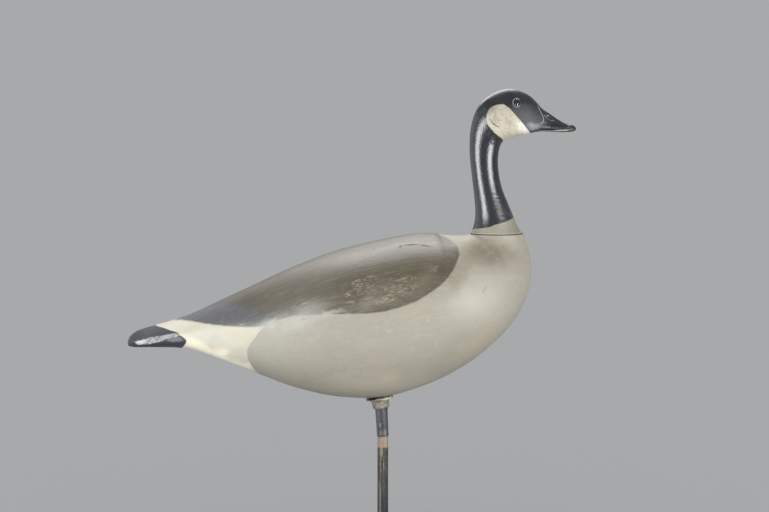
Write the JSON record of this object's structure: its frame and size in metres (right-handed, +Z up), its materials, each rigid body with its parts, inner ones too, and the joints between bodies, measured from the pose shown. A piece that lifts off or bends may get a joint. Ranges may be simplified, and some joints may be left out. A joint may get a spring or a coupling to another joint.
{
  "type": "goose decoy",
  "caption": "Painted wooden goose decoy with a long curved neck and glass eyes, standing on an iron flange and sleeve, a stick and a round foot.",
  "frame": {"origin": "on the stick's axis, at the middle of the foot's underside", "axes": "+X towards the bill, +Y towards the goose's left side, +Z up"},
  "size_m": [0.7592, 0.2504, 0.7911],
  "materials": {
    "body_paint": "satin paint on carved wood, worn and scratched",
    "head_paint": "glossy black paint on carved wood, with a cream cheek",
    "eye_glass": "polished dark brown glass",
    "flange_iron": "cast iron, rusty, with old cream paint",
    "sleeve_iron": "worn dark grey paint",
    "stick_paint": "worn dark paint, bare at the top",
    "foot_paint": "matt black paint"
  },
  "bodies": {
    "root": {"body": "body_paint", "head_and_neck": "head_paint", "right_eye": "eye_glass", "left_eye": "eye_glass", "belly_flange": "flange_iron", "socket_sleeve": "sleeve_iron", "stick": "stick_paint", "foot": "foot_paint"}
  },
  "joints": []
}
